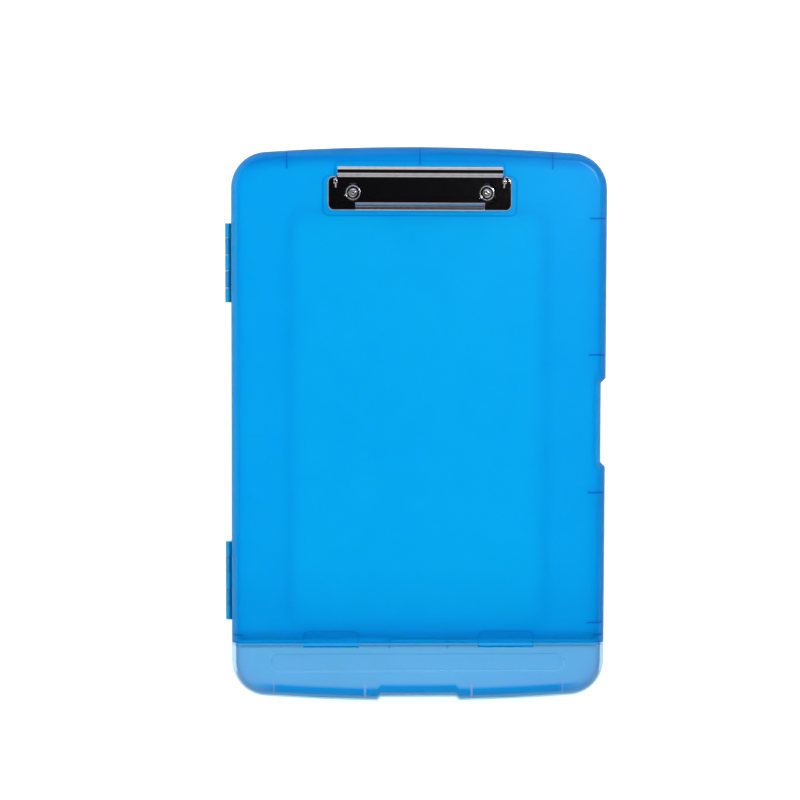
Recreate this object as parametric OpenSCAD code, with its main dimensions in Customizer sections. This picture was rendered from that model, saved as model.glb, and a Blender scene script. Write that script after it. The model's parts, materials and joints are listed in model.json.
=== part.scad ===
// Storage clipboard: a shallow two-cover document case with a low-profile clip on its lid.
// It lies on its back: X across (hinges at -X), Y up the page (clip at +Y), Z through the case.
// The origin is at the middle of the case, on the plane that it rests on. Millimetres.

/* [Case] */
// Width across the hinged and the opening side, without the hinge knuckles
body_w = 240; // [220:1:280]
// Length along the page, at the middle of the bowed ends
body_l = 356; // [340:1:400]
// Thickness of the closed case, without the clip
body_t = 28; // [26:0.5:36]
// Height of the base tray's rim
split_z = 18; // [16:0.5:20]
// Wall of the trays and covers
wall = 2; // [1.6:0.1:2.4]
// Floor of the base tray
floor_t = 2; // [1.6:0.1:3]
// Plate of the covers
cover_t = 2; // [1.6:0.1:2.4]
// Corner radius of the outline
corner_r = 23; // [18:0.5:30]
// Radius of the bowed top and bottom ends
end_r = 1380; // [1000:10:2000]
// Rounding of the covers' outer edge
cover_edge_r = 6; // [4.5:0.25:6.5]
// Rounding of the base tray's outer edge
base_edge_r = 7.5; // [5:0.25:9]
// Gap between the base's rim and the covers' skirts
split_gap = 0.3; // [0.2:0.05:0.5]

/* [Floor panel] */
// Width of the raised panel that the case rests on
panel_w = 168; // [120:1:180]
// Margin of the panel at the top and bottom ends
panel_margin = 42; // [34:0.5:70]
// Corner radius of the panel
panel_r = 10; // [5:0.5:20]
// How far the panel stands below the rest of the floor
panel_step = 0.8; // [0.5:0.1:1.5]
// Middle of the panel, above the middle of the case
panel_y = 2.9; // [-5:0.1:10]

/* [Rim tongue] */
// Thickness of the tongue that locates the covers
tongue_t = 1.4; // [1:0.1:2]
// Height of the tongue above the base's rim
tongue_h = 3; // [2:0.25:3.5]
// Clearance between the tongue and the covers' skirts
tongue_gap = 0.4; // [0.3:0.05:0.5]
// Depth of the thick root of the tongue below the rim
tongue_root = 4; // [2:0.5:6]
// Length of each snap bead on the tongue
bead_len = 16; // [8:1:20]

/* [Finger notches] */
// Middle of the side notch, above the middle of the case
side_notch_y = 2.3; // [-10:0.1:20]
// Length of the side notch at the outline
side_notch_len = 57; // [35:1:70]
// Depth of the side notch
side_notch_depth = 3; // [1.5:0.1:3.2]
// Length of the pen flap's notch at the outline
end_notch_len = 53; // [30:1:56]
// Depth of the pen flap's notch
end_notch_depth = 2.4; // [1:0.1:3]

/* [Cover ribs] */
// Thickness of the ribs inside the covers
rib_t = 1.2; // [0.8:0.1:1.6]
// Length of the ribs, from the outline inwards
rib_len = 12; // [9:0.5:16]
// Length of the two ribs beside the seam
seam_rib_len = 7.5; // [6.5:0.5:10]
// Outer ribs at the top of the lid, from the middle
top_rib_x = 84.4; // [70:0.2:90]
// Uppermost rib on the opening side, from the top end of the case
side_rib_top = 45.2; // [40:0.2:60]
// Lowest rib on the opening side, from the seam
side_rib_low = 12.5; // [9:0.1:30]
// Outer ribs of the pen flap, from the middle
flap_rib_x = 93; // [85:1:95]
// Inner ribs of the pen flap, from the middle
flap_inner_rib_x = 34.3; // [32:1:50]

/* [Pen compartment] */
// Length of the pen flap, from the bottom end to the seam
flap_l = 38.9; // [34:0.1:60]
// Gap at the seam between the lid and the flap
seam_gap = 0.3; // [0.2:0.05:0.5]
// Thickness of the divider between the two compartments
divider_t = 2; // [1.4:0.1:2.4]
// Setback of the divider under the lid's lower edge
divider_set = 1.2; // [0.6:0.1:2]
// Clearance of the divider under the lid
divider_gap = 0.4; // [0.3:0.1:0.8]
// Width of the recessed field on the flap
field_w = 188.6; // [120:1:200]
// Height of the recessed field along the page
field_l = 11.5; // [8:0.1:14]
// Corner radius of the recessed field
field_r = 4.5; // [2:0.25:5.5]
// Middle of the recessed field, from the seam
field_set = 12.8; // [11:0.1:18]
// Depth of the recessed field
field_d = 0.6; // [0.3:0.1:0.8]
// Width of the slope round the recessed field
field_slope = 0.7; // [0.4:0.1:1]

/* [Flap hinge] */
// Radius of the flap's rounded upper edge, which turns about the hinge pins
nose_r = 1.6; // [1.4:0.05:1.8]
// Middle of each hinge lug, from the middle of the case
lug_x = 56.2; // [50:0.1:80]
// Length of each hinge lug
lug_len = 35.3; // [20:0.1:40]
// Radius of the lug's barrel
barrel_r = 1.5; // [1.3:0.05:1.6]
// Radius of the flap's hinge pins
flap_pin_r = 0.8; // [0.6:0.05:0.9]
// Length of pin in the flap at each side of a lug
flap_pin_grip = 6; // [4:0.5:10]
// Depth of the shelf that carries a lug, behind the divider
shelf_l = 3.9; // [3:0.1:6]
// Thickness of that shelf
shelf_t = 1.6; // [1.2:0.1:1.8]
// Stub ribs under the flap's upper edge, from the middle
stub_x = 18.7; // [10:0.5:30]

/* [Main hinges] */
// Middle of the upper hinge, from the top end of the case
upper_hinge_set = 74; // [70:0.5:100]
// Middle of the lower hinge, from the bottom end of the case
lower_hinge_set = 78; // [74:0.5:110]
// Hinge axis beyond the side of the case
hinge_out = 1.2; // [0.8:0.1:1.6]
// Radius of the knuckles
knuckle_r = 2.8; // [2.4:0.05:3]
// Radius of the hinge pins
hinge_pin_r = 1; // [0.8:0.05:1.3]
// Length of the base's middle knuckle
mid_knuckle_len = 10; // [8:0.5:14]
// Length of each of the lid's knuckles
lid_knuckle_len = 10.6; // [8:0.2:14]
// Length of the base's end knuckles
end_knuckle_len = 9.2; // [6:0.2:12]
// Gap between neighbouring knuckles
knuckle_gap = 0.2; // [0.15:0.05:0.4]

/* [Fits] */
// Radial clearance where a pin turns
run_gap = 0.06; // [0.03:0.01:0.1]
// Radial clearance where a pin or rivet is held
held_gap = 0.02; // [0.01:0.01:0.03]

/* [Clip plate] */
// Width of the clip's base plate
plate_w = 117; // [112:0.5:130]
// Length of the base plate along the page
plate_l = 21.8; // [20:0.1:26]
// Lower edge of the base plate, from the top end of the case
plate_set = 40.8; // [38:0.1:50]
// Thickness of the base plate
plate_t = 1; // [0.8:0.05:1.2]
// Width of the plate's rounded border
plate_edge_r = 1.4; // [0.8:0.1:2.4]
// Length of the ears that hold the pivot rod, along the page
ear_l = 7.6; // [6:0.2:8]
// Width of the tab that carries each ear
ear_tab_w = 8; // [6:0.5:12]
// Height of the pad under the clip
pad_h = 0.5; // [0.4:0.1:0.8]
// Margin of the pad around the plate
pad_margin = 3.1; // [2:0.1:5]
// Width of the narrow upper part of the pad
pad_top_w = 108; // [90:1:110]
// Length of the narrow upper part of the pad, above the base plate
pad_top_l = 9.7; // [9:0.1:11]

/* [Clip lever] */
// Base plate beyond the lever, at each end
lever_margin = 6.3; // [5.5:0.1:9]
// Sheet thickness of the lever
lever_t = 0.9; // [0.7:0.05:1]
// Width of the gripping lip
lip_w = 82; // [60:0.5:90]
// Length of the gripping lip along the page
lip_l = 4.8; // [4.6:0.1:6.5]
// Outer radius of the curled edge
roll_r = 3.1; // [2.6:0.05:3.2]
// Middle of the curl, beyond the pivot rod
roll_set = 6.2; // [5.8:0.1:6.6]
// Drop of the curl's middle below the lever's flat back
roll_drop = 0.2; // [0.1:0.05:0.6]
// End of the flat back and start of its upward bend, beyond the pivot rod
bend_set = 1.7; // [1.5:0.1:2.2]
// Angle at which the curl ends, above level
curl_end = 0; // [0:5:60]
// Radius of the openings over the rivets
access_r = 5.85; // [5.3:0.05:6]
// Radius of the pivot rod
rod_r = 1; // [0.8:0.05:1.1]
// Pivot rod from the upper edge of the base plate
rod_set = 3.5; // [3:0.1:4.5]
// Coil radius of the torsion springs, outside
coil_r = 1.6; // [1.5:0.05:1.7]
// Wire of the torsion springs
wire_d = 0.5; // [0.4:0.05:0.5]
// Turns of each torsion spring
coil_turns = 13; // [8:1:20]
// Middle of each torsion spring, from the middle of the clip
spring_x = 24; // [10:1:30]

/* [Rivets] */
// Rivet centre from the end of the base plate
rivet_inset = 16.1; // [14.5:0.1:24]
// Rivet centre above the base plate's lower edge
rivet_set = 11.2; // [10:0.1:13]
// Radius of the rivet's shank
shank_r = 2; // [1.5:0.05:2.2]
// Radius of the rivet's head
head_r = 2.9; // [2.6:0.05:3.5]
// Height of the rivet's head
head_h = 1.2; // [0.8:0.05:1.3]
// Radius of the dished washer under the head
washer_r = 5; // [4:0.05:5.2]
// Thickness of the washer
washer_t = 0.7; // [0.5:0.05:0.8]
// Radius of the flat collar let into the lid's underside
collar_r = 5; // [4:0.1:6]
// Thickness of the collar
collar_t = 0.8; // [0.5:0.1:1.2]
// Clearance around the collar in its recess
collar_gap = 0.3; // [0.2:0.05:0.5]

/* [Hidden] */
$fn = 64;
corner_steps = 10; // steps of a corner in plan
end_steps = 8; // steps of a bowed end in plan
edge_steps = 6; // steps of a rounded outer edge
eps = 0.5; // overlap of joined shapes

lid_blue = [0.0, 0.52, 0.92];
base_blue = [0.0, 0.46, 0.86];
frost = [0.45, 0.72, 0.93];
chrome = [0.75, 0.76, 0.78];
steel = [0.62, 0.63, 0.65];

// Corner arcs meet the end arcs at corner_a
corner_cx = body_w / 2 - corner_r;
end_cy = body_l / 2 - end_r;
corner_cy = end_cy + sqrt(pow(end_r - corner_r, 2) - pow(corner_cx, 2));
corner_a = atan2(corner_cy - end_cy, corner_cx);

// Levels
floor_z = panel_step + floor_t;
skirt_z = split_z + split_gap;
plate_z = body_t - cover_t;
round_z = body_t - cover_edge_r;
tongue_d = wall + tongue_gap;
tongue_in = tongue_d + tongue_t;
tongue_z = split_z + tongue_h;
rib_z = tongue_z + 0.5;
panel_l = body_l - 2 * panel_margin;

// Seam, flap hinge and divider
lid_edge_y = -body_l / 2 + flap_l + seam_gap / 2;
flap_edge_y = lid_edge_y - seam_gap;
flap_axis_y = flap_edge_y - nose_r;
flap_axis_z = body_t - nose_r;
divider_y = lid_edge_y + divider_set;
divider_z = plate_z - divider_gap;
lid_edge_r = 1;
slot_gap = 0.3;

// Main hinges
hinge_x = -body_w / 2 - hinge_out;
hinge_z = split_z + 0.5;
knuckle_cut_r = knuckle_r + 0.4;
lid_from = mid_knuckle_len / 2 + knuckle_gap;
lid_to = lid_from + lid_knuckle_len;
end_from = lid_to + knuckle_gap;
hinge_half = end_from + end_knuckle_len;
upper_hinge_y = body_l / 2 - upper_hinge_set;
lower_hinge_y = -body_l / 2 + lower_hinge_set;
hinge_ys = [upper_hinge_y, lower_hinge_y];

// Notch ends run this far along the edge for each unit of depth, and grow by slope_k as the edge is inset
slope = 1;
slope_k = sqrt(1 + slope * slope) - slope;

// Clip levels and places
pad_z = body_t + pad_h;
plate_top = pad_z + plate_t;
plate_y = body_l / 2 - plate_set;
plate_end_y = plate_y + plate_l;
lever_w = plate_w - 2 * lever_margin;
rivet_x = plate_w / 2 - rivet_inset;
rod_y = plate_end_y - rod_set;
rod_z = plate_top + coil_r + 0.1;
lever_z = rod_z + coil_r + 0.2;
lever_top = lever_z + lever_t;
lip_y = plate_y + lip_l;
lip_z = plate_top + 0.3;
ear_t = 0.9;
ear_in = lever_w / 2 + 0.7;
ear_r = rod_r + 1.4;
rivet_y = plate_y + rivet_set;
roll_y = rod_y + roll_set;
roll_z = lever_top - roll_drop;
bend_y = rod_y + bend_set;
// The bend meets the curl in a common tangent
bend_r = (pow(roll_y - bend_y, 2) + pow(roll_drop, 2) - pow(roll_r, 2)) / (2 * (roll_r - roll_drop));
bend_a = atan2(roll_z - lever_top - bend_r, roll_y - bend_y);

// ---------------------------------------------------------------- outline and edge rounding

// Distance of the bowed ends, inset by d, from the middle of the case at a distance x from its centre line
function end_y(x, d = 0) = end_cy + sqrt(pow(end_r - d, 2) - pow(x, 2));

// Points of an arc from angle a0 to a1, both included
function arc_pts(centre, r, a0, a1, steps) =
    [for (i = [0 : steps]) let (a = a0 + (a1 - a0) * i / steps) centre + r * [cos(a), sin(a)]];

// The same without its two ends
function inner_arc_pts(centre, r, a0, a1, steps) =
    [for (i = [1 : steps - 1]) let (a = a0 + (a1 - a0) * i / steps) centre + r * [cos(a), sin(a)]];

// Half lengths of a notch at its floor and at the outline, with the edges inset by d
function notch_inner(len, depth, d) = len / 2 - slope * depth + slope_k * d;
function notch_outer(len, d) = len / 2 + slope_k * d;

// Plan of the case inset by d, counter-clockwise: straight sides, bowed ends, round corners and two notches
function outline_pts(d) =
    let (
        cx = corner_cx,
        cy = corner_cy,
        a = corner_a,
        r = corner_r - d,
        side_x = body_w / 2 - d,
        side_in = notch_inner(side_notch_len, side_notch_depth, d),
        side_out = notch_outer(side_notch_len, d),
        end_in = notch_inner(end_notch_len, end_notch_depth, d),
        end_out = notch_outer(end_notch_len, d),
        end_floor = -body_l / 2 + end_notch_depth + d,
        end_a = asin(end_out / (end_r - d))
    )
    concat(
        [
            [side_x, side_notch_y - side_out], [side_x - side_notch_depth, side_notch_y - side_in],
            [side_x - side_notch_depth, side_notch_y + side_in], [side_x, side_notch_y + side_out]
        ],
        arc_pts([cx, cy], r, 0, a, corner_steps),
        inner_arc_pts([0, end_cy], end_r - d, a, 180 - a, end_steps),
        arc_pts([-cx, cy], r, 180 - a, 180, corner_steps),
        arc_pts([-cx, -cy], r, 180, 180 + a, corner_steps),
        inner_arc_pts([0, -end_cy], end_r - d, 180 + a, 270 - end_a, end_steps / 2),
        [
            [-end_out, -end_y(end_out, d)], [-end_in, end_floor],
            [end_in, end_floor], [end_out, -end_y(end_out, d)]
        ],
        inner_arc_pts([0, -end_cy], end_r - d, 270 + end_a, 360 - a, end_steps / 2),
        arc_pts([cx, -cy], r, 360 - a, 360, corner_steps)
    );

module outline(d) {
    polygon(outline_pts(d));
}

// Insets and heights of a block's levels: a straight wall, then an upper edge rounded by r
function block_levels(d, z0, z1, r) = concat(
    [[d, z0]],
    [for (i = [0 : edge_steps]) let (a = 90 * i / edge_steps) [d + r * (1 - cos(a)), z1 - r + r * sin(a)]]
);

// Solid case between two heights, inset by d, with its upper edge rounded by r
module case_block(d, z0, z1, r) {
    levels = block_levels(d, z0, z1, r);
    rings = [for (level = levels) [for (p = outline_pts(level[0])) [p[0], p[1], level[1]]]];
    n = len(rings[0]);
    top = (len(rings) - 1) * n;
    low_mid = len(rings) * n;
    points = concat([for (ring = rings) each ring], [[0, 0, z0], [0, 0, z1]]);
    sides = [
        for (j = [0 : len(rings) - 2], i = [0 : n - 1])
            let (k = (i + 1) % n) [j * n + i, (j + 1) * n + i, (j + 1) * n + k, j * n + k]
    ];
    caps = [
        for (i = [0 : n - 1])
            let (k = (i + 1) % n) each [[low_mid, i, k], [low_mid + 1, top + k, top + i]]
    ];
    polyhedron(points, concat(sides, caps));
}

// The same with its lower edge rounded
module tray_block(d, z0, z1, r) {
    translate([0, 0, z0 + z1]) mirror([0, 0, 1]) case_block(d, z0, z1, r);
}

// Rounded rectangle in plan
module round_rect(w, l, r) {
    square([w - 2 * r, l], center = true);
    square([w, l - 2 * r], center = true);
    for (sx = [-1, 1], sy = [-1, 1])
        translate([sx * (w / 2 - r), sy * (l / 2 - r)]) circle(r = r);
}

// Both covers in one, before they part at the seam
module cover_shell() {
    difference() {
        case_block(0, skirt_z, body_t, cover_edge_r);
        case_block(wall, skirt_z - 1, plate_z, cover_edge_r - wall);
    }
}

// ---------------------------------------------------------------- shared details

// Gusset inside a cover, from its skirt to its plate, at the edge x = 0 and reaching towards -x
module cover_rib(len) {
    mid = cover_edge_r - wall / 2;
    mirror([1, 0, 0]) rotate([90, 0, 0]) linear_extrude(rib_t, center = true)
        polygon([
            [wall / 2, rib_z],
            [wall / 2, round_z],
            [cover_edge_r - mid * cos(45), round_z + mid * sin(45)],
            [cover_edge_r, round_z + mid],
            [len, plate_z + eps],
            [len, plate_z - 0.6],
            [wall + 1, rib_z]
        ]);
}

// Cylinder along X, centred
module x_rod(r, len) {
    rotate([0, 90, 0]) cylinder(r = r, h = len, center = true);
}

// Cylinder along Y, centred
module y_rod(r, len) {
    rotate([90, 0, 0]) cylinder(r = r, h = len, center = true);
}

// Snap beads of the tongue, or their grooves when r is larger
module snap_lines(r) {
    bead_d = tongue_d + 0.35;
    bead_z = split_z + tongue_h * 0.6;
    for (s = [-1, 1]) {
        translate([body_w / 2 - bead_d, side_notch_y + s * (side_notch_len / 2 + bead_len), bead_z])
            y_rod(r, bead_len);
        translate([s * (end_notch_len / 2 + bead_len), -end_y(end_notch_len / 2 + bead_len) + bead_d, bead_z])
            x_rod(r, bead_len);
    }
}

// One run of knuckles between two distances from a hinge's middle, at both sides
module knuckle_pair(r, from, to) {
    for (s = [-1, 1])
        translate([hinge_x, s * (from + to) / 2, hinge_z]) y_rod(r, to - from);
}

// ---------------------------------------------------------------- base tray

module base_shell() {
    difference() {
        union() {
            tray_block(0, panel_step, split_z, base_edge_r);
            translate([0, 0, split_z - eps]) linear_extrude(tongue_h + eps) outline(tongue_d);
            translate([0, panel_y, 0]) linear_extrude(floor_t) round_rect(panel_w, panel_l, panel_r);
        }
        tray_block(wall, floor_z, split_z - tongue_root, base_edge_r - wall);
        translate([0, 0, split_z - tongue_root - eps])
            linear_extrude(tongue_root + tongue_h + 2 * eps) outline(tongue_in);
        translate([0, panel_y, floor_t])
            linear_extrude(floor_t) round_rect(panel_w - 2 * wall, panel_l - 2 * wall, panel_r - wall);
    }
}

// Wall between the compartments, shaped to stay inside the covers
module divider() {
    side = body_w / 2 - wall / 2;
    upper = body_w / 2 - tongue_in - eps;
    top = body_w / 2 - cover_edge_r - 1;
    translate([0, divider_y + divider_t, 0]) rotate([90, 0, 0]) linear_extrude(divider_t)
        polygon([
            [-side + base_edge_r, floor_z - eps], [side - base_edge_r, floor_z - eps],
            [side, floor_z + base_edge_r], [side, split_z - tongue_root], [upper, split_z - tongue_root + 1],
            [upper, tongue_z], [top, divider_z], [-top, divider_z], [-upper, tongue_z],
            [-upper, split_z - tongue_root + 1], [-side, split_z - tongue_root], [-side, floor_z + base_edge_r]
        ]);
}

// Hinge lug of the pen flap: shelf, arm and gussets, about x = 0
module flap_lug() {
    gusset_x = 9.2;
    corner = 3.5;
    back_y = divider_y + divider_t + shelf_l;
    arm_top = flap_axis_z - 0.8;
    translate([0, 0, divider_z - shelf_t]) linear_extrude(shelf_t) {
        translate([-lug_len / 2, divider_y]) square([lug_len, divider_t + shelf_l - corner]);
        translate([-lug_len / 2 + corner, divider_y]) square([lug_len - 2 * corner, back_y - divider_y]);
        for (s = [-1, 1]) translate([s * (lug_len / 2 - corner), back_y - corner]) circle(r = corner);
    }
    translate([-lug_len / 2, flap_axis_y, divider_z - shelf_t])
        cube([lug_len, divider_y - flap_axis_y + eps, shelf_t]);
    translate([0, flap_axis_y, flap_axis_z]) x_rod(barrel_r, lug_len);
    for (s = [-1, 1]) translate([s * gusset_x - rib_t / 2, 0, 0])
        rotate([90, 0, 90]) linear_extrude(rib_t)
            polygon([
                [divider_y + eps, divider_z - shelf_t + eps], [flap_axis_y + 0.3, divider_z - shelf_t + eps],
                [divider_y + eps, divider_z - shelf_t - 5]
            ]);
    for (s = [-1, 1]) translate([s * gusset_x - rib_t / 2, 0, 0])
        rotate([90, 0, 90]) linear_extrude(rib_t)
            polygon([
                [divider_y + eps, divider_z - shelf_t + eps], [back_y - 1, divider_z - shelf_t + eps],
                [divider_y + divider_t, divider_z - shelf_t - 6], [divider_y + eps, divider_z - shelf_t - 6]
            ]);
}

// Gusset under one run of the base's knuckles
module knuckle_foot(from, to) {
    x0 = -body_w / 2 + wall / 2;
    x1 = hinge_x - 0.8;
    for (s = [-1, 1]) translate([0, s * (from + to) / 2, 0])
        rotate([90, 0, 0]) linear_extrude(to - from, center = true)
            polygon([[x0, hinge_z], [x1, hinge_z], [x1, hinge_z - knuckle_r + 0.3], [x0, hinge_z - 2.5 * knuckle_r]]);
}

module base_tray() {
    stub_w = 1.3;
    stub_top = flap_axis_z - nose_r - 0.4;
    color(base_blue) difference() {
        union() {
            base_shell();
            divider();
            for (s = [-1, 1]) translate([s * lug_x, 0, 0]) flap_lug();
            for (s = [-1, 1]) translate([s * stub_x - stub_w / 2, flap_axis_y - nose_r, stub_top - 8])
                cube([stub_w, divider_y - flap_axis_y + nose_r + eps, 8]);
            snap_lines(0.5);
            for (y = hinge_ys) translate([0, y, 0]) {
                knuckle_pair(knuckle_r, 0, mid_knuckle_len / 2);
                knuckle_pair(knuckle_r, end_from, hinge_half);
                knuckle_foot(0, mid_knuckle_len / 2);
                knuckle_foot(end_from, hinge_half);
            }
        }
        for (y = hinge_ys) translate([0, y, 0]) {
            knuckle_pair(knuckle_cut_r, mid_knuckle_len / 2, end_from);
            translate([hinge_x, 0, hinge_z]) y_rod(hinge_pin_r + held_gap, 2 * hinge_half + 2);
        }
        for (s = [-1, 1]) translate([s * lug_x, flap_axis_y, flap_axis_z])
            x_rod(flap_pin_r + held_gap, lug_len + 2);
    }
}

// ---------------------------------------------------------------- front lid

module clip_pad() {
    low_w = plate_w + 2 * pad_margin;
    low_l = plate_l + pad_margin;
    translate([0, plate_y - pad_margin + low_l / 2, body_t - eps])
        linear_extrude(pad_h + eps) round_rect(low_w, low_l, 4);
    translate([0, plate_end_y, body_t - eps])
        linear_extrude(pad_h + eps) round_rect(pad_top_w, 2 * pad_top_l, 4);
}

// Rounds the lid's lower outer edge along the seam
module seam_round() {
    translate([0, lid_edge_y + lid_edge_r, body_t - lid_edge_r]) rotate([90, 0, 90])
        linear_extrude(body_w + 2, center = true) difference() {
            translate([-lid_edge_r - 1, 0]) square([lid_edge_r + 1, lid_edge_r + 1]);
            circle(r = lid_edge_r);
        }
}

module front_lid() {
    window_top = hinge_z + knuckle_r + 0.4;
    side_rib_from = lid_edge_y + side_rib_low;
    side_rib_run = body_l / 2 - side_rib_top - side_rib_from;
    side_rib_ys = [for (part = [0, 0.324, 0.665, 1]) side_rib_from + part * side_rib_run];
    seam_rib_y = lid_edge_y + divider_set + divider_t + 1.6;
    color(lid_blue) difference() {
        union() {
            difference() {
                cover_shell();
                translate([-body_w, lid_edge_y - body_l, 0]) cube([2 * body_w, body_l, 2 * body_t]);
            }
            clip_pad();
            for (x = [-top_rib_x, 0, top_rib_x]) translate([x, end_y(x), 0]) rotate([0, 0, 90]) cover_rib(rib_len);
            for (y = side_rib_ys) translate([body_w / 2, y, 0]) cover_rib(rib_len);
            for (side = [0, 1]) mirror([side, 0, 0])
                translate([body_w / 2, seam_rib_y, 0]) cover_rib(seam_rib_len);
            for (y = hinge_ys) translate([0, y, 0]) knuckle_pair(knuckle_r, lid_from, lid_to);
        }
        seam_round();
        snap_lines(0.9);
        for (y = hinge_ys) translate([hinge_x - knuckle_r - 1, y, 0]) {
            reach = hinge_out + knuckle_r + 1 + wall + tongue_gap / 2;
            translate([0, -lid_from, 0]) cube([reach, 2 * lid_from, window_top]);
            for (s = [0, 1]) mirror([0, s, 0])
                translate([0, lid_to, 0]) cube([reach, hinge_half + knuckle_gap - lid_to, window_top]);
        }
        for (y = hinge_ys) translate([hinge_x, y, hinge_z])
            y_rod(hinge_pin_r + run_gap, 2 * hinge_half);
        for (s = [-1, 1]) translate([s * rivet_x, rivet_y, plate_z - 1]) {
            cylinder(r = shank_r + held_gap, h = cover_t + pad_h + 2);
            cylinder(r = collar_r + collar_gap, h = 1 + collar_t);
        }
    }
}

// ---------------------------------------------------------------- pen flap

module pen_flap() {
    slot_len = lug_len + 2 * slot_gap;
    slot_y = flap_axis_y - barrel_r - slot_gap;
    nose_half = body_w / 2 - cover_edge_r + wall;
    color(frost) difference() {
        union() {
            difference() {
                cover_shell();
                translate([-body_w, flap_edge_y, 0]) cube([2 * body_w, 2 * body_l, 2 * body_t]);
                // rounds the upper edge about the hinge axis
                translate([-body_w, flap_axis_y, flap_axis_z]) difference() {
                    cube([2 * body_w, nose_r + 1, nose_r + 1]);
                    translate([body_w, 0, 0]) x_rod(nose_r, 2 * body_w + 2);
                }
            }
            translate([0, flap_axis_y, flap_axis_z]) x_rod(nose_r, 2 * nose_half);
            for (x = [-flap_rib_x, -flap_inner_rib_x, flap_inner_rib_x, flap_rib_x])
                translate([x, -end_y(x), 0]) rotate([0, 0, -90]) cover_rib(rib_len);
        }
        snap_lines(0.9);
        translate([0, flap_edge_y - field_set, body_t - field_d]) hull() {
            linear_extrude(0.02)
                round_rect(field_w - 2 * field_slope, field_l - 2 * field_slope, field_r - field_slope);
            translate([0, 0, field_d]) linear_extrude(eps) round_rect(field_w, field_l, field_r);
        }
        for (s = [-1, 1]) translate([s * lug_x, 0, 0]) {
            translate([-slot_len / 2, slot_y, flap_axis_z - nose_r - 1])
                cube([slot_len, flap_edge_y - slot_y + 1, 2 * nose_r + 2]);
            translate([0, flap_axis_y, flap_axis_z])
                x_rod(flap_pin_r + run_gap, lug_len + 2 * flap_pin_grip);
        }
    }
}

// ---------------------------------------------------------------- hinge pins

module hinge_pin(y) {
    color(steel) translate([hinge_x, y, hinge_z]) y_rod(hinge_pin_r, 2 * hinge_half - 0.6);
}

module flap_pin(side) {
    color(base_blue) translate([side * lug_x, flap_axis_y, flap_axis_z])
        x_rod(flap_pin_r, lug_len + 2 * flap_pin_grip - 1);
}

// ---------------------------------------------------------------- clip

// Plate with a rounded border and the two ears that hold the rod
module clip_base_plate() {
    corner = 4;
    edge_t = 0.25;
    mid_y = plate_y + plate_l / 2;
    color(chrome) difference() {
        union() {
            translate([0, mid_y, pad_z]) hull($fn = 32) for (a = [0 : 22.5 : 90]) {
                inset = plate_edge_r * (1 - cos(a));
                linear_extrude(edge_t + (plate_t - edge_t) * sin(a))
                    round_rect(plate_w - 2 * inset, plate_l - 2 * inset, corner - inset);
            }
            for (s = [-1, 1]) translate([s * (ear_in + ear_t / 2), rod_y, 0]) {
                hull() {
                    translate([-ear_t / 2, -ear_l / 2, pad_z + edge_t]) cube([ear_t, ear_l, plate_t]);
                    translate([0, 0, rod_z]) x_rod(ear_r, ear_t, $fn = 32);
                }
                translate([s * (ear_t - ear_tab_w) / 2 - ear_tab_w / 2, -ear_l / 2, pad_z + edge_t])
                    cube([ear_tab_w, ear_l, plate_t - edge_t]);
            }
        }
        translate([0, rod_y, rod_z]) x_rod(rod_r + held_gap, plate_w);
        for (s = [-1, 1]) translate([s * rivet_x, rivet_y, pad_z - 1])
            cylinder(r = shank_r + held_gap, h = plate_t + 2);
    }
}

// Section of the lever's back, as y and z: flat, bent up and curled over
function lever_back_pts() = let (
        bend = [bend_y, lever_top + bend_r],
        curl = [roll_y, roll_z]
    )
    concat(
        [[lip_y, lever_z], [lip_y, lever_top]],
        arc_pts(bend, bend_r, -90, bend_a, 6),
        arc_pts(curl, roll_r, 180 + bend_a, curl_end, 14),
        arc_pts(curl, roll_r - lever_t, curl_end, 180 + bend_a, 14),
        arc_pts(bend, bend_r + lever_t, bend_a, -90, 6)
    );

// Section of the gripping lip
function lever_lip_pts() = [
    [lip_y + 0.6, lever_top], [lip_y - 0.1, lever_top - 0.15], [lip_y - 0.6, lever_top - 0.6],
    [plate_y + 2.6, lip_z + lever_t + 0.3], [plate_y + 1.9, lip_z + lever_t],
    [plate_y + 1.3, lip_z + lever_t + 0.1], [plate_y + 0.6, lip_z + lever_t + 0.7],
    [plate_y, lip_z + 1], [plate_y + 0.6, lip_z + 0.3], [plate_y + 1.3, lip_z],
    [plate_y + 2.6, lip_z], [plate_y + 3.3, lip_z + 0.3], [lip_y + 0.3, lever_z - 0.15],
    [lip_y + 0.6, lever_z]
];

// Pressed lever: flat back, gripping lip, curled edge and the two cheeks that turn on the rod
module clip_lever() {
    cheek_x = (lever_w - lever_t) / 2;
    cheek_l = ear_l - 0.6;
    corner = 1.5;
    color(chrome) difference() {
        union() {
            rotate([90, 0, 90]) linear_extrude(lever_w, center = true) polygon(lever_back_pts());
            rotate([90, 0, 90]) linear_extrude(lip_w, center = true) polygon(lever_lip_pts());
            for (s = [-1, 1]) translate([s * cheek_x, rod_y, 0]) hull() {
                translate([-lever_t / 2, -cheek_l / 2, lever_z]) cube([lever_t, cheek_l, lever_t / 2]);
                translate([0, 0, rod_z]) x_rod(rod_r + 0.5, lever_t, $fn = 32);
            }
        }
        translate([0, rod_y, rod_z]) x_rod(rod_r + run_gap, lever_w + 2);
        for (s = [-1, 1]) {
            translate([s * rivet_x, rivet_y, lever_z - 1]) cylinder(r = access_r, h = lever_t + 2);
            translate([s * (lever_w / 2 - corner), lip_y + corner, lever_z - 1]) difference() {
                translate([s * corner, -corner, 0]) cube([2 * corner, 2 * corner, 2 * lever_t + 4], center = true);
                cylinder(r = corner, h = 4 * lever_t + 8, center = true);
            }
        }
    }
}

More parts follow.
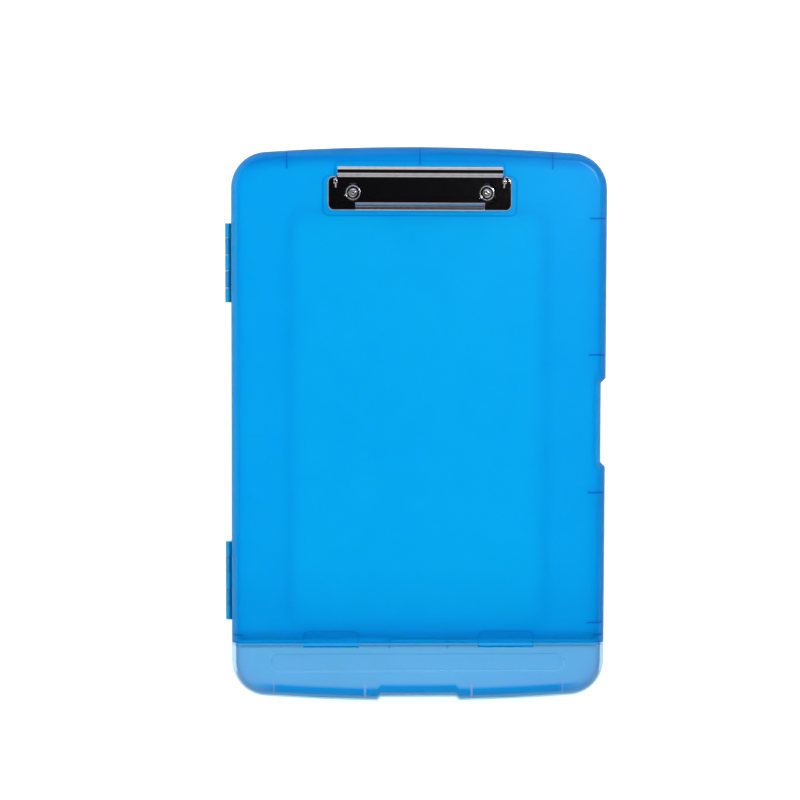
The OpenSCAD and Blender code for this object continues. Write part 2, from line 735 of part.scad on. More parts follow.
// Rod with a flattened head outside each ear
module clip_pivot_rod() {
    head_l = 0.8;
    half = ear_in + ear_t + 0.05;
    color(steel) translate([0, rod_y, rod_z]) {
        x_rod(rod_r, 2 * (half + eps));
        for (s = [-1, 1]) translate([s * (half + head_l / 2), 0, 0]) x_rod(rod_r + 0.5, head_l);
    }
}

// Torsion spring on the rod: the envelope of its coil, and the leg that presses down on the base plate
module clip_spring(side) {
    coil_len = coil_turns * wire_d * 1.08;
    leg_l = 3;
    color(steel) translate([side * spring_x, rod_y, rod_z]) difference() {
        union() {
            x_rod(coil_r, coil_len);
            translate([side * (coil_len - wire_d) / 2 - wire_d / 2, 0, -coil_r])
                cube([wire_d, leg_l, wire_d]);
        }
        x_rod(coil_r - wire_d, coil_len + 2);
    }
}

// Tubular rivet: cratered dome over the washer, shank, rolled end under the collar
module clip_rivet(side) {
    seat = plate_top + washer_t;
    tail_z = plate_z - 0.8;
    dome_r = (pow(head_r, 2) + pow(head_h - 0.3, 2)) / (2 * (head_h - 0.3));
    crater_r = 1.3;
    color(steel) translate([side * rivet_x, rivet_y, 0]) difference() {
        union() {
            translate([0, 0, tail_z]) cylinder(r = shank_r, h = seat - tail_z + head_h / 2);
            translate([0, 0, seat]) intersection() {
                cylinder(r = head_r, h = head_h);
                translate([0, 0, head_h - dome_r]) sphere(r = dome_r);
            }
            translate([0, 0, tail_z]) cylinder(r = shank_r + 1.2, h = plate_z - tail_z);
        }
        translate([0, 0, seat + head_h - 0.7]) cylinder(r1 = crater_r * 0.6, r2 = crater_r, h = 0.8);
        translate([0, 0, tail_z - 1]) cylinder(r = crater_r, h = 2.3);
    }
}

// Dished washer between the base plate and the rivet's head
module rivet_washer(side) {
    color(chrome) translate([side * rivet_x, rivet_y, plate_top]) rotate_extrude()
        polygon([
            [shank_r + held_gap, 0], [washer_r - 0.7, 0], [washer_r, washer_t + 0.4],
            [washer_r - 0.5, washer_t + 0.5], [washer_r - 1.1, washer_t], [shank_r + held_gap, washer_t]
        ]);
}

// Flat collar that spreads the rivet's grip, in its recess under the lid
module rivet_collar(side) {
    color(steel) translate([side * rivet_x, rivet_y, plate_z]) difference() {
        cylinder(r = collar_r, h = collar_t);
        translate([0, 0, -1]) cylinder(r = shank_r + held_gap, h = collar_t + 2);
    }
}

base_tray();
front_lid();
pen_flap();
hinge_pin(upper_hinge_y);  // hinge_pin_upper
hinge_pin(lower_hinge_y);  // hinge_pin_lower
flap_pin(-1);  // flap_pin_left
flap_pin(1);  // flap_pin_right
clip_base_plate();
clip_lever();
clip_pivot_rod();
clip_spring(-1);  // clip_spring_left
clip_spring(1);  // clip_spring_right
clip_rivet(-1);  // clip_rivet_left
clip_rivet(1);  // clip_rivet_right
rivet_washer(-1);  // rivet_washer_left
rivet_washer(1);  // rivet_washer_right
rivet_collar(-1);  // rivet_collar_left
rivet_collar(1);  // rivet_collar_right
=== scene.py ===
"""Looks of the storage clipboard: frosted blue case, frosted clear pen flap and a chromed clip.

The object's lengths are in millimetres, and are turned into metres where a mesh or a material takes them.
The stage's lengths are in metres. X runs across the case, Y up the page and Z out of the lid, as in the
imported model.
"""

import json
import math

import bpy
from mathutils import Euler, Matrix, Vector


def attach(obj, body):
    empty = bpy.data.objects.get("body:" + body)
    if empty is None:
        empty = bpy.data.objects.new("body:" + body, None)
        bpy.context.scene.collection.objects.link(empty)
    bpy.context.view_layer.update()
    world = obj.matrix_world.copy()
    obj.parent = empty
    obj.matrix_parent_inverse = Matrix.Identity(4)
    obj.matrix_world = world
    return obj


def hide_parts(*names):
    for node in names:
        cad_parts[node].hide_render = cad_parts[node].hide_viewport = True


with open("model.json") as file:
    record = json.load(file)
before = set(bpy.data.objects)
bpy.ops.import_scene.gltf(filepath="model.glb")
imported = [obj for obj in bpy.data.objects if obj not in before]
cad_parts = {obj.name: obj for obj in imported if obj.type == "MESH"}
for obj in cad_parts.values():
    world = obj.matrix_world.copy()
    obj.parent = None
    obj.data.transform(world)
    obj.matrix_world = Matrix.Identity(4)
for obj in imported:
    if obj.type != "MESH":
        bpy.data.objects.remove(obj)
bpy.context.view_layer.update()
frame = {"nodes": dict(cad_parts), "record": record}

MM = 0.001
nodes_of = frame["nodes"]
bpy.context.scene.view_settings.view_transform = "Standard"

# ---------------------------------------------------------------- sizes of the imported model

HALF_W, HALF_L, MIDDLE_Z = 120, 178, 14
END_R, CORNER_R = 1380, 23  # radii of the bowed ends and the corners
PANEL_MID, PANEL_HALF, PANEL_CORNER = (0, 2.9), (84, 136), 10

# Ribs under the covers. Each one's middle is measured inwards from the outline.
RIB_HALF_T = 0.6
RIM_RIB_MID, RIM_RIB_HALF_L = 6.5, 5.3
TOP_RIB_X = 84.4
SIDE_RIB_YS = (132.8, 45.95, -42.45, -126.45)
SEAM_RIB_Y, SEAM_RIB_MID, SEAM_RIB_HALF_L = -134.15, 4.2, 3.4
FLAP_RIB_XS, FLAP_RIB_MID, FLAP_RIB_HALF_L = (93.0, 34.3), 7.0, 4.4

# The flap's hinge lugs with their gussets, and the two stubs between them
LUG_MID, LUG_HALF, LUG_CORNER = (56.2, -137.1), (17.65, 5.25), 3.5
GUSSET_OFF, GUSSET_Y, GUSSET_HALF = 9.2, -135.3, (0.5, 2.6)
STUB_MID, STUB_HALF = (18.7, -141.6), (0.6, 1.4)

NOTCH_HALF, NOTCH_DEPTH, NOTCH_SLOPE = 25.2, 2.4, 1.2  # finger notch in the flap's end
FIELD_MID, FIELD_HALF, FIELD_CORNER = (0, -152.05), (94.3, 5.75), 4.5
PAD_MID, PAD_HALF, PAD_CORNER = (0, 146.55), (61.6, 12.45), 4
PAD_TOP_MID, PAD_TOP_HALF = (0, 159), (54, 9.7)
ROD_Y, ROD_Z = 155.5, 31.2  # the clip's pivot rod

# ---------------------------------------------------------------- camera

CAMERA_PLACE = (-43.2, 78.2, 1192.6)
CAMERA_TURN = (-3.014, -1.512, 0.147)  # degrees about X, Y and Z
CAMERA_LENS, CAMERA_SENSOR = 82.3, 36
CAMERA_NEAR, CAMERA_FAR = 0.01, 20  # metres


def make_camera():
    """The photograph's camera: nearly straight above the case, a little towards its top and left."""
    data = bpy.data.cameras.new("camera")
    data.lens = CAMERA_LENS
    data.sensor_width = CAMERA_SENSOR
    data.clip_start, data.clip_end = CAMERA_NEAR, CAMERA_FAR
    camera = bpy.data.objects.new("camera", data)
    camera.location = Vector(CAMERA_PLACE) * MM
    camera.rotation_euler = Euler([math.radians(a) for a in CAMERA_TURN])
    bpy.context.scene.collection.objects.link(camera)
    bpy.context.scene.camera = camera


make_camera()

# ---------------------------------------------------------------- materials


def set_or_link(tree, socket, value):
    """Links a node's output to a socket, or sets the socket to a plain value."""
    if isinstance(value, bpy.types.NodeSocket):
        tree.links.new(value, socket)
    else:
        socket.default_value = value


def mixed(node):
    """The colour that a Mix node gives."""
    return next(o for o in node.outputs if o.identifier == "Result_Color")


class Shader:
    """A node material with one Principled shader, and short calls for the nodes that feed it."""

    def __init__(self, name, **values):
        self.material = bpy.data.materials.new(name)
        self.material.use_nodes = True
        self.tree = self.material.node_tree
        self.surface = self.tree.nodes["Principled BSDF"]
        self.feed(self.surface, **values)
        coordinates = self.add("ShaderNodeTexCoord")
        self.place = coordinates.outputs["Object"]
        self.facing = coordinates.outputs["Normal"]

    def add(self, kind, **settings):
        node = self.tree.nodes.new(kind)
        for key, value in settings.items():
            setattr(node, key, value)
        return node

    def feed(self, node, **inputs):
        """Sets or links the named inputs of a node."""
        for socket, value in inputs.items():
            set_or_link(self.tree, node.inputs[socket.replace("_", " ")], value)
        return node

    def noise(self, size, detail=2.0, rough=0.5):
        """Noise from 0 to 1 with features of about this size in millimetres."""
        node = self.add("ShaderNodeTexNoise")
        self.feed(node, Vector=self.place, Scale=1 / (size * MM), Detail=detail, Roughness=rough)
        return node.outputs["Fac"]

    def span(self, value, ends, to=(0, 1), smooth=False):
        """Carries a value from the range between ends to another, and holds it past them."""
        node = self.add("ShaderNodeMapRange")
        if smooth:
            node.interpolation_type = "SMOOTHSTEP"
        self.feed(node, Value=value, From_Min=ends[0], From_Max=ends[1], To_Min=to[0], To_Max=to[1])
        return node.outputs["Result"]

    def mix(self, factor, first, second):
        """Mixes two colours."""
        node = self.add("ShaderNodeMix", data_type="RGBA")
        sockets = {"Factor_Float": factor, "A_Color": first, "B_Color": second}
        for socket in node.inputs:
            if socket.identifier in sockets:
                set_or_link(self.tree, socket, sockets[socket.identifier])
        return mixed(node)

    def math(self, operation, *values):
        node = self.add("ShaderNodeMath", operation=operation)
        for socket, value in zip(node.inputs, values):
            set_or_link(self.tree, socket, value)
        return node.outputs["Value"]

    def vector(self, operation, *values):
        node = self.add("ShaderNodeVectorMath", operation=operation)
        for socket, value in zip(node.inputs, values):
            set_or_link(self.tree, socket, value)
        return node.outputs["Value" if operation in ("LENGTH", "DOT_PRODUCT") else "Vector"]

    def axis(self, vector, name):
        return self.feed(self.add("ShaderNodeSeparateXYZ"), Vector=vector).outputs[name]

    def plan(self):
        """The place across the case and the place up the page, in millimetres."""
        return [self.math("MULTIPLY", self.axis(self.place, name), 1 / MM) for name in "XY"]

    def box(self, centre, half, corner=0.0, mirrored=False):
        """Distance in plan, in millimetres, from a box with round corners, below 0 inside it."""
        place = self.vector("MULTIPLY", self.place, (1 / MM, 1 / MM, 0))
        if mirrored:
            place = self.vector("MULTIPLY_ADD", self.vector("ABSOLUTE", place), (1, 0, 0),
                                self.vector("MULTIPLY", place, (0, 1, 0)))
        off = self.vector("ABSOLUTE", self.vector("SUBTRACT", place, (*centre, 0)))
        past = self.vector("SUBTRACT", off, (half[0] - corner, half[1] - corner, 0))
        outside = self.vector("LENGTH", self.vector("MAXIMUM", past, (0, 0, 0)))
        inside = self.math("MINIMUM", self.math("MAXIMUM", self.axis(past, "X"), self.axis(past, "Y")), 0)
        return self.math("SUBTRACT", self.math("ADD", outside, inside), corner)

    def end(self):
        """Distance in millimetres from the bowed ends, below 0 inside."""
        place = self.vector("MULTIPLY", self.vector("ABSOLUTE", self.place), (1 / MM, 1 / MM, 0))
        bow = self.math("MULTIPLY", self.math("POWER", self.axis(place, "X"), 2), 0.5 / END_R)
        return self.math("SUBTRACT", self.math("ADD", self.axis(place, "Y"), bow), HALF_L)

    def outline(self):
        """Distance in millimetres from the case's outline, below 0 inside."""
        across = self.math("ABSOLUTE", self.plan()[0])
        past_x = self.math("ADD", self.math("SUBTRACT", across, HALF_W), CORNER_R)
        past_y = self.math("ADD", self.end(), CORNER_R)
        squares = [self.math("POWER", self.math("MAXIMUM", past, 0), 2) for past in (past_x, past_y)]
        outside = self.math("SQRT", self.math("ADD", *squares))
        inside = self.math("MINIMUM", self.math("MAXIMUM", past_x, past_y), 0)
        return self.math("SUBTRACT", self.math("ADD", outside, inside), CORNER_R)

    def fill(self, distance, soft=0.2):
        """1 inside the form that the distance is from, and 0 outside."""
        return self.span(distance, (-soft, soft), (1, 0), smooth=True)

    def line(self, distance, width, soft=0.2):
        """1 along the edge of the form that the distance is from."""
        half = width / 2
        return self.span(self.math("ABSOLUTE", distance), (half - soft, half + soft), (1, 0), smooth=True)

    def most(self, *masks):
        """The highest of some masks."""
        total = masks[0]
        for mask in masks[1:]:
            total = self.math("MAXIMUM", total, mask)
        return total

    def times(self, *masks):
        """Some masks, or plain shares, multiplied."""
        total = masks[0]
        for mask in masks[1:]:
            total = self.math("MULTIPLY", total, mask)
        return total

    def above(self, height, soft=0.3):
        """1 where the piece lies higher than this many millimetres at rest."""
        return self.span(self.axis(self.place, "Z"), ((height - soft) * MM, (height + soft) * MM))

    def bump(self, height, depth, strength=1.0):
        """Raises the surface by depth millimetres where height is 1."""
        node = self.feed(self.add("ShaderNodeBump"), Height=height, Distance=depth * MM, Strength=strength)
        self.feed(self.surface, Normal=node.outputs["Normal"])


def rgb(r, g, b):
    return (r, g, b, 1.0)


def end_y(x):
    """Distance of the case's bowed ends from its middle, at a distance x from the centre line."""
    return HALF_L - END_R + math.sqrt(END_R ** 2 - x ** 2)


# The soft borders of the painted shade and painted light, as a place where one starts and a place where it is
# full.
# Those in Y are near the seam, and IN_ ones are distances from the outline, below 0 inside it.
LID_FADE_Y, LID_END_Y = (-139, -80), (-138.4, -137.4)
LUG_TOP_Y, BARREL_FRONT_Y, FLAP_NOSE_Y = (-140, -139), (-141.3, -140.9), (-141.4, -140.9)
UPPER_HALF_Y = (0, 10)
LEFT_RIM_X, LEFT_EDGE_X = (-118, -105), (-120.2, -119.6)
IN_RIM, IN_UPPER_RIM, IN_WALL, IN_FLAP_EDGE = (-4.5, -1), (-12, -6), (-9, -4), (-3.4, -2.4)
IN_BAND_START, IN_BAND_END = (-10, -8), (-4.0, -3.2)
BAND_FADE_X, FLAP_EDGE_X = (90, 106), (104, 116)  # distances from the centre line

# How much of its own colour each mark takes: painted shade, painted light, and the flap ribs' own lighter
# tone
LID_SHADE_SHARES = {"fade": 0.28, "end": 0.5, "rim": 0.75, "left_rim": 0.15, "upper_rim": 0.55, "left_edge": 0.6,
              "pad": 0.6, "lug": 0.55, "gusset": 0.25}
BASE_SHADE_SHARES = {"wall": 0.75, "step": 0.35, "gusset": 0.35, "barrel": 0.55}
FLAP_SHADE_AND_LIGHT_SHARES = {"band_fade": 0.3, "field_top": 0.25, "field_bottom": 0.2, "stub": 0.8, "edge": 0.65}
FLAP_RIB_SHARES = (0.45, 1.0)

# Widths of the lines of painted shade and light, and how soft the wider forms are
PAD_LINE, LUG_LINE, LUG_EDGE, FIELD_LINE, STEP_LINE = 1.0, 1.1, 1.2, 0.9, 4.5
RIB_SOFT, STEP_SOFT, PANEL_SOFT = 0.35, 2.0, 6
LUG_HEIGHT, FIELD_BLEND = 20, 2


def lug_plan(shader):
    """Distance from the two hinge lugs of the flap, and whether a place is over one of their gussets."""
    lug = shader.box(LUG_MID, LUG_HALF, LUG_CORNER, mirrored=True)
    gussets = [shader.fill(shader.box((LUG_MID[0] + side * GUSSET_OFF, GUSSET_Y), GUSSET_HALF, mirrored=True))
               for side in (-1, 1)]
    return lug, shader.most(*gussets)


def lid_ribs(shader):
    """1 over the ribs under the lid."""
    top_half, side_half = (RIB_HALF_T, RIM_RIB_HALF_L), (RIM_RIB_HALF_L, RIB_HALF_T)
    ribs = [shader.box((TOP_RIB_X, end_y(TOP_RIB_X) - RIM_RIB_MID), top_half, mirrored=True),
            shader.box((0, end_y(0) - RIM_RIB_MID), top_half)]
    ribs += [shader.box((HALF_W - RIM_RIB_MID, rib_y), side_half) for rib_y in SIDE_RIB_YS]
    ribs.append(shader.box((HALF_W - SEAM_RIB_MID, SEAM_RIB_Y), (SEAM_RIB_HALF_L, RIB_HALF_T), mirrored=True))
    return shader.most(*[shader.fill(rib, RIB_SOFT) for rib in ribs])


def lid_paint(shader, body):
    """Painted shade: dark lines over the ribs, the flap's lugs and the edge of the clip's pad, and darker
    towards the seam, at the left edge and along the rim.
    """
    shares = LID_SHADE_SHARES
    x, y = shader.plan()
    lug, gussets = lug_plan(shader)
    pad = shader.math("MINIMUM", shader.box(PAD_MID, PAD_HALF, PAD_CORNER),
                      shader.box(PAD_TOP_MID, PAD_TOP_HALF, PAD_CORNER))
    left_rim = shader.span(x, LEFT_RIM_X, (shares["left_rim"], 1))
    upper_rim = shader.span(shader.end(), IN_UPPER_RIM, (0, shares["upper_rim"]))
    # painted shade: over the ribs and along the pad's and lugs' edges, darker towards the seam and at its
    # last millimetre, at the left edge and along the right and upper rim
    painted_shade = shader.most(
        lid_ribs(shader),
        shader.span(y, LID_FADE_Y, (shares["fade"], 0), smooth=True),
        shader.span(y, LID_END_Y, (shares["end"], 0)),
        shader.span(x, LEFT_EDGE_X, (shares["left_edge"], 0)),
        shader.times(shader.span(shader.outline(), IN_RIM, (0, shares["rim"])), left_rim),
        shader.times(upper_rim, shader.span(y, UPPER_HALF_Y)),
        shader.times(shader.line(pad, PAD_LINE), shares["pad"]),
        shader.times(shader.line(lug, LUG_LINE), shares["lug"]),
        shader.times(gussets, shares["gusset"]),
    )
    return shader.mix(painted_shade, body, LID_SHADE_BLUE)


def base_paint(shader, body):
    """Painted shade: dark edges on the flap's hinge lugs, a shadow along their barrels and darker walls and
    floor-panel step; painted light: a lighter floor panel.
    """
    shares = BASE_SHADE_SHARES
    y = shader.plan()[1]
    high = shader.above(LUG_HEIGHT)
    low = shader.math("SUBTRACT", 1.0, high)
    # painted light: the floor panel is lighter where more light comes through it
    panel_half = [half - PANEL_SOFT for half in PANEL_HALF]
    panel = shader.fill(shader.box(PANEL_MID, panel_half, PANEL_CORNER), PANEL_SOFT)
    body = shader.mix(shader.times(low, panel), body, PANEL_LIGHT_BLUE)
    # painted shade: the floor panel's step and the walls are darker, as they look in the light coming through
    step = shader.line(shader.box(PANEL_MID, PANEL_HALF, PANEL_CORNER), STEP_LINE, STEP_SOFT)
    wall = shader.times(low, shader.span(shader.outline(), IN_WALL, (0, shares["wall"])))
    body = shader.mix(shader.most(wall, shader.times(step, shares["step"])), body, WALL_SHADE_BLUE)
    lug, gussets = lug_plan(shader)
    # painted shade: dark edges round the lugs and their gussets, and a painted shadow along the front of the
    # barrels
    edges = shader.most(
        shader.times(shader.line(lug, LUG_EDGE), shader.span(y, LUG_TOP_Y)),
        shader.times(gussets, shares["gusset"]),
        shader.span(y, BARREL_FRONT_Y, (shares["barrel"], 0)),
    )
    return shader.mix(shader.times(high, edges), body, LUG_SHADE_BLUE)


def flap_paint(shader, body):
    """Ribs are pale lines. Painted shade: the base's wall below as a blue band along the bottom end, stub
    marks and the field's top edge; painted light: the field's bottom edge and the sides.
    """
    shares = FLAP_SHADE_AND_LIGHT_SHARES
    x, y = shader.plan()
    across = shader.math("ABSOLUTE", x)
    notch = shader.span(across, (NOTCH_HALF - NOTCH_SLOPE, NOTCH_HALF + NOTCH_SLOPE), (NOTCH_DEPTH, 0))
    end = shader.math("ADD", shader.end(), notch)
    # painted shade: the base's wall seen through the flap as a darker blue band
    band = shader.times(shader.span(end, IN_BAND_START), shader.span(end, IN_BAND_END, (1, 0)),
                        shader.span(across, BAND_FADE_X, (1, shares["band_fade"])))
    body = shader.mix(band, body, FLAP_SHADE_BLUE)
    field = shader.line(shader.box(FIELD_MID, FIELD_HALF, FIELD_CORNER), FIELD_LINE)
    top = shader.span(y, (FIELD_MID[1] - FIELD_BLEND, FIELD_MID[1] + FIELD_BLEND))
    stubs = shader.fill(shader.box(STUB_MID, STUB_HALF, mirrored=True))
    # painted shade: the field's top edge, turned from the light, and dark marks over the stubs under the
    # flap's nose
    lines = shader.most(shader.times(field, top, shares["field_top"]), shader.times(stubs, shares["stub"]))
    body = shader.mix(lines, body, FLAP_SHADE_BLUE)
    body = shader.mix(shader.span(y, FLAP_NOSE_Y), body, NOSE_BLUE)
    ribs = [shader.box((rib_x, FLAP_RIB_MID - end_y(rib_x)), (RIB_HALF_T, FLAP_RIB_HALF_L), mirrored=True)
            for rib_x in FLAP_RIB_XS]
    # painted light: the field's bottom edge, turned to the light, and the side edges are lighter, the side
    # edges also with the frosted edges' own lighter tone; the ribs keep their own lighter tone
    paler_ribs_and_light = shader.most(
        shader.times(shader.span(shader.outline(), IN_FLAP_EDGE, (0, shares["edge"])),
                     shader.span(across, FLAP_EDGE_X)),
        shader.times(field, shader.math("SUBTRACT", 1.0, top), shares["field_bottom"]),
        *[shader.times(shader.fill(rib, RIB_SOFT), share) for rib, share in zip(ribs, FLAP_RIB_SHARES)],
    )
    return shader.mix(paler_ribs_and_light, body, MILKY_RIB_AND_LIGHT)


CLOUD_SIZE, CLOUD_RANGE = 45, (0.3, 0.7)
GRAIN_SIZE, GRAIN_RANGE, GRAIN_DEPTH, GRAIN_STRENGTH = 0.5, (0.3, 0.7), 0.01, 0.3
MATT_LESS, MATT_MORE = 0.05, 0.08  # how far the grain takes the outer faces' roughness down and up
INNER_ROUGH = 0.06  # of the inner faces, and added to the outer ones
OUTER_BLEND = 0.5


def frosted(name, colour, paint, through, rough, absorbed, density, glassy, gloss, coat=0.0):
    """Translucent moulded plastic, matt outside and smooth inside, that takes off colour with its depth.

    A share of the light goes straight through it, and paint gives the colour of its ribs and edges, mostly
    painted shade and painted light.
    """
    shader = Shader(name, Alpha=1 - through, Transmission_Weight=glassy, IOR=1.49, Specular_IOR_Level=0.25,
                    Specular_Tint=gloss, Coat_Weight=coat, Coat_Roughness=0.15)
    cloud = shader.span(shader.noise(CLOUD_SIZE, 1), CLOUD_RANGE)
    pale = rgb(*(min(1.0, 1.03 * c + 0.002) for c in colour[:3]))
    grain = shader.noise(GRAIN_SIZE, 2, 0.6)
    from_middle = shader.vector("SUBTRACT", shader.place, (0, 0, MIDDLE_Z * MM))
    outer = shader.span(shader.vector("DOT_PRODUCT", shader.facing, from_middle), (0, OUTER_BLEND * MM))
    matt = shader.span(grain, GRAIN_RANGE, (rough - MATT_LESS, rough + MATT_MORE))
    shader.feed(shader.surface, Base_Color=paint(shader, shader.mix(cloud, colour, pale)),
                Roughness=shader.math("ADD", shader.math("MULTIPLY", outer, matt), INNER_ROUGH))
    shader.bump(grain, GRAIN_DEPTH, GRAIN_STRENGTH)
    depth = shader.feed(shader.add("ShaderNodeVolumeAbsorption"), Color=absorbed, Density=density)
    output = next(n for n in shader.tree.nodes if n.type == "OUTPUT_MATERIAL")
    shader.feed(output, Volume=depth.outputs["Volume"])
    return shader.material


WEAR_SIZE, WEAR_COLOUR_RANGE, WEAR_ROUGH_RANGE = 3.5, (0.45, 0.75), (0.35, 0.8)
WEAR_DARKER, WEAR_ROUGHER = 0.86, 1.9


def plated(name, colour, rough, grain_size, grain_depth):
    """Plated or bare steel with a faint waviness and fine wear in its gloss."""
    shader = Shader(name, Metallic=1.0)
    wear = shader.noise(WEAR_SIZE, 5, 0.65)
    worn = rgb(*(WEAR_DARKER * c for c in colour[:3]))
    shader.feed(shader.surface, Base_Color=shader.mix(shader.span(wear, WEAR_COLOUR_RANGE), colour, worn),
                Roughness=shader.span(wear, WEAR_ROUGH_RANGE, (rough, rough * WEAR_ROUGHER)))
    shader.bump(shader.noise(grain_size, 2), grain_depth)
    return shader.material


# The darker blues of the lid, the base's walls and the lugs, and the flap's band blue, are painted shade.
# The floor panel's lighter blue is painted light; the lighter milky blue is the flap ribs' tone and painted
# light.
BLUE, WALL_SHADE_BLUE, LUG_SHADE_BLUE = rgb(0.0, 0.65, 1.0), rgb(0.0, 0.30, 0.80), rgb(0.0, 0.05, 0.35)
LID_SHADE_BLUE, BARREL_BLUE, PANEL_LIGHT_BLUE = rgb(0.0, 0.24, 0.70), rgb(0.02, 0.36, 0.82), rgb(0.0, 0.76, 1.0)
MILKY, MILKY_LIT_EDGE, MILKY_RIB_AND_LIGHT = rgb(0.34, 0.67, 0.93), rgb(0.33, 0.80, 1.0), rgb(0.62, 0.82, 1.0)
FLAP_SHADE_BLUE, NOSE_BLUE = rgb(0.0, 0.48, 0.92), rgb(0.04, 0.38, 0.80)
BLUE_BODY = {"absorbed": rgb(0.0, 0.93, 0.985), "gloss": rgb(0.1, 0.6, 1.0)}
MILKY_BODY = {"absorbed": rgb(0.80, 0.93, 0.99), "gloss": rgb(0.5, 0.75, 1.0)}

LID_BLUE = frosted("lid_blue", BLUE, lid_paint, through=0.25, rough=0.28, density=1000, glassy=0.8,
                   coat=0.5, **BLUE_BODY)
BASE_BLUE = frosted("base_blue", BLUE, base_paint, through=0.25, rough=0.28, density=1000, glassy=0.8,
                    **BLUE_BODY)
LUG_BLUE = frosted("lug_blue", BARREL_BLUE, base_paint, through=0.0, rough=0.28, density=100, glassy=0.0,
                   **BLUE_BODY)
SHELF_BLUE = frosted("shelf_blue", BLUE, base_paint, through=0.8, rough=0.15, density=300, glassy=0.9,
                     **BLUE_BODY)
FROST = frosted("frost", MILKY, flap_paint, through=0.2, rough=0.3, density=100, glassy=0.65,
                coat=0.5, **MILKY_BODY)
# The flap's rim faces get a lighter, less clear copy of the flap plastic: partly the frosted edge's own tone,
# partly painted light.
FROST_RIM_LIT = frosted("lit_frost_rim", MILKY_LIT_EDGE, flap_paint, through=0.0, rough=0.3, density=100, glassy=0.1,
                    **MILKY_BODY)
CHROME = plated("chrome", rgb(0.68, 0.66, 0.70), rough=0.05, grain_size=22, grain_depth=0.05)
NICKEL = plated("nickel", rgb(0.96, 0.96, 0.97), rough=0.14, grain_size=4, grain_depth=0.02)
SPRING = plated("spring_steel", rgb(0.42, 0.41, 0.40), rough=0.28, grain_size=1.5, grain_depth=0.02)

FINISH = {
    "blue_plastic": LID_BLUE,
    "base_plastic": BASE_BLUE,
    "frosted_plastic": FROST,
    "chrome_sheet": CHROME,
    "plated_steel": NICKEL,
    "spring_steel": SPRING,
}

# ---------------------------------------------------------------- surfaces of the CAD nodes

SHARP_ANGLE, BEVEL_ANGLE, FLAT_ANGLE = 35, 40, 1  # degrees
JOIN_DISTANCE = 0.002
PLAIN_EDGE = 0.15
EDGES = {"clip_lever": 0.35, "rivet_collar_left": 0.12, "rivet_collar_right": 0.12}
OWN_FINISH = {"hinge_pin_upper": SPRING, "hinge_pin_lower": SPRING}


def node_group(name):
    """An empty geometry node group, with its input and output."""
    group = bpy.data.node_groups.new(name, "GeometryNodeTree")
    for way in ("INPUT", "OUTPUT"):
        group.interface.new_socket("Geometry", in_out=way, socket_type="NodeSocketGeometry")
    return group, group.nodes.new("NodeGroupInput").outputs[0], group.nodes.new("NodeGroupOutput").inputs[0]


def join_group():
    """Drops a mesh's stored normals and joins its split corners."""
    group, start, end = node_group("join")
    clean = group.nodes.new("GeometryNodeRemoveAttribute")
    clean.inputs["Name"].default_value = "custom_normal"
    merge = group.nodes.new("GeometryNodeMergeByDistance")
    merge.inputs["Distance"].default_value = JOIN_DISTANCE * MM
    group.links.new(start, clean.inputs["Geometry"])
    group.links.new(clean.outputs["Geometry"], merge.inputs["Geometry"])
    group.links.new(merge.outputs["Geometry"], end)
    return group


def smooth_group():
    """Shades a mesh smooth, except across sharp edges."""
    group, start, end = node_group("smooth_by_angle")
    faces = group.nodes.new("GeometryNodeSetShadeSmooth")
    angle = group.nodes.new("GeometryNodeInputMeshEdgeAngle")
    sharp = group.nodes.new("FunctionNodeCompare")
    sharp.operation = "GREATER_THAN"
    sharp.inputs["B"].default_value = math.radians(SHARP_ANGLE)
    edges = group.nodes.new("GeometryNodeSetShadeSmooth")
    edges.domain = "EDGE"
    edges.inputs["Shade Smooth"].default_value = False
    group.links.new(start, faces.inputs["Geometry"])
    group.links.new(faces.outputs["Geometry"], edges.inputs["Geometry"])
    group.links.new(angle.outputs["Unsigned Angle"], sharp.inputs["A"])
    group.links.new(sharp.outputs["Result"], edges.inputs["Selection"])
    group.links.new(edges.outputs["Geometry"], end)
    return group


class FaceChoice:
    """Short calls for the nodes that pick faces by their normal and their place in millimetres."""

    def __init__(self, group):
        self.group = group
        normal = self.add("GeometryNodeInputNormal").outputs[0]
        position = self.add("GeometryNodeInputPosition").outputs[0]
        place = self.vector("MULTIPLY", position, (1 / MM, 1 / MM, 1 / MM))
        self.normal, self.place = self.axes(normal), self.axes(place)
        self.across = self.axes(self.vector("ABSOLUTE", place))["X"]
        self.outward = self.vector("DOT_PRODUCT", self.vector("MULTIPLY", normal, (1, 1, 0)), place)

    def add(self, kind, operation=None):
        node = self.group.nodes.new(kind)
        if operation:
            node.operation = operation
        return node

    def vector(self, operation, *values):
        node = self.add("ShaderNodeVectorMath", operation)
        for socket, value in zip(node.inputs, values):
            set_or_link(self.group, socket, value)
        return node.outputs["Value" if operation == "DOT_PRODUCT" else "Vector"]

    def axes(self, vector):
        parts = self.add("ShaderNodeSeparateXYZ")
        self.group.links.new(vector, parts.inputs[0])
        return parts.outputs

    def over(self, value, limit):
        """Whether a value is over a limit."""
        node = self.add("FunctionNodeCompare", "GREATER_THAN")
        node.inputs["B"].default_value = limit
        self.group.links.new(value, node.inputs["A"])
        return node.outputs["Result"]

    def join(self, operation, *choices):
        total = choices[0]
        for choice in choices[1:]:
            node = self.add("FunctionNodeBooleanMath", operation)
            self.group.links.new(total, node.inputs[0])
            self.group.links.new(choice, node.inputs[1])
            total = node.outputs[0]
        return total

    def between(self, low_y, high_y, low_z):
        """Faces between two places up the page that lie higher than low_z."""
        strip = self.join("NIMPLY", self.over(self.place["Y"], low_y), self.over(self.place["Y"], high_y))
        return self.join("AND", strip, self.over(self.place["Z"], low_z))


